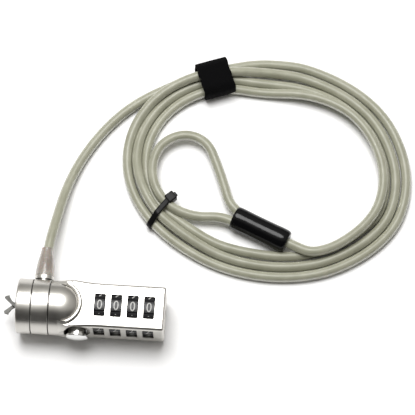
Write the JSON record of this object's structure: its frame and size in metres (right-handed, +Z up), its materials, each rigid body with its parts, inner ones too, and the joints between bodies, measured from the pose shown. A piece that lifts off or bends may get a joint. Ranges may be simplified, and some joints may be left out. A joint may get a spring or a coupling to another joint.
{
  "type": "laptop cable lock",
  "caption": "Combination lock head with dial wheels and spring-loaded claws on a swivel, with a coiled vinyl-coated steel cable that ends in a crimped loop.",
  "frame": {"origin": "on the surface the lock lies on, under the middle of the lock head", "axes": "+X along the head from the claws to the end plate, +Y towards the side where the cable leaves, +Z up"},
  "size_m": [0.1755, 0.1409, 0.024],
  "materials": {
    "satin_chrome": "satin plated zinc",
    "polished_chrome": "polished",
    "claw_steel": "ground",
    "inner_steel": "turned",
    "sleeve_brass": "turned",
    "dial_plastic": "moulded, white digits",
    "relief_vinyl": "translucent",
    "cable_vinyl": "translucent vinyl over steel rope",
    "strap_fabric": "woven hook and loop",
    "tie_nylon": "moulded",
    "ferrule_vinyl": "glossy",
    "crimp_aluminium": "pressed"
  },
  "bodies": {
    "cable_end": {"swivel_collar": "satin_chrome", "cable_end_stop": "inner_steel", "cable_sleeve": "relief_vinyl", "cable_lead": "cable_vinyl", "cable_coil": "cable_vinyl", "cable_tail": "cable_vinyl", "cable_loop": "cable_vinyl", "ferrule_crimp": "crimp_aluminium", "ferrule_cover": "ferrule_vinyl", "cable_strap": "strap_fabric", "cable_tie": "tie_nylon"},
    "lock_body": {"housing": "satin_chrome", "nose_cap": "satin_chrome", "swivel_post": "inner_steel", "thrust_washers": "inner_steel", "top_cover": "satin_chrome", "cover_pins": "inner_steel", "end_plate": "satin_chrome", "end_plate_pins": "inner_steel", "claw_pivot_pin": "inner_steel", "detent_spring": "inner_steel", "button_stay_pin": "inner_steel"},
    "spindle_slide_body": {"spindle": "inner_steel", "drive_pin": "inner_steel", "spindle_spring": "inner_steel"},
    "release_button_body": {"release_button": "polished_chrome", "button_spring": "inner_steel"},
    "claw_rear_body": {"claw_rear": "claw_steel"},
    "claw_front_body": {"claw_front": "claw_steel"},
    "code_screw_body": {"code_screw": "inner_steel"},
    "dial_1": {"dial_wheel_1": "dial_plastic", "clutch_sleeve_1": "sleeve_brass"},
    "dial_2": {"dial_wheel_2": "dial_plastic", "clutch_sleeve_2": "sleeve_brass"},
    "dial_3": {"dial_wheel_3": "dial_plastic", "clutch_sleeve_3": "sleeve_brass"},
    "dial_4": {"dial_wheel_4": "dial_plastic", "clutch_sleeve_4": "sleeve_brass"}
  },
  "joints": [
    {"name": "head_swivel", "type": "hinge", "parent": "cable_end", "child": "lock_body", "pos_m": [-0.0188, 0, 0.012], "axis": [1, 0, 0], "continuous": true},
    {"name": "button_press", "type": "slide", "parent": "lock_body", "child": "release_button_body", "axis": [0, -1, 0], "range_m": [-0.002, 0], "stiffness_N_per_m": 400, "springref_m": 0.0015, "deforming": ["button_spring"]},
    {"name": "spindle_travel", "type": "slide", "parent": "lock_body", "child": "spindle_slide_body", "axis": [1, 0, 0], "range_m": [0, 0.002], "deforming": ["spindle_spring"]},
    {"name": "claw_rear_pivot", "type": "hinge", "parent": "lock_body", "child": "claw_rear_body", "pos_m": [-0.0269, 0, 0.012], "axis": [0, 0, 1], "range_deg": [0, 16]},
    {"name": "claw_front_pivot", "type": "hinge", "parent": "lock_body", "child": "claw_front_body", "pos_m": [-0.0269, 0, 0.012], "axis": [0, 0, 1], "range_deg": [-16, 0]},
    {"name": "code_screw_turn", "type": "hinge", "parent": "lock_body", "child": "code_screw_body", "pos_m": [0.0343, 0, 0.012], "axis": [1, 0, 0], "range_deg": [0, 90]},
    {"name": "dial_1_turn", "type": "hinge", "parent": "lock_body", "child": "dial_1", "pos_m": [0.007, 0, 0.012], "axis": [1, 0, 0], "continuous": true},
    {"name": "dial_2_turn", "type": "hinge", "parent": "lock_body", "child": "dial_2", "pos_m": [0.01415, 0, 0.012], "axis": [1, 0, 0], "continuous": true},
    {"name": "dial_3_turn", "type": "hinge", "parent": "lock_body", "child": "dial_3", "pos_m": [0.0213, 0, 0.012], "axis": [1, 0, 0], "continuous": true},
    {"name": "dial_4_turn", "type": "hinge", "parent": "lock_body", "child": "dial_4", "pos_m": [0.02845, 0, 0.012], "axis": [1, 0, 0], "continuous": true}
  ],
  "couplings": [
    {"joint": "spindle_travel", "follows": "button_press", "ratio": -1},
    {"joint": "claw_rear_pivot", "follows": "button_press", "rad_per_m": -139.6},
    {"joint": "claw_front_pivot", "follows": "button_press", "rad_per_m": 139.6}
  ]
}
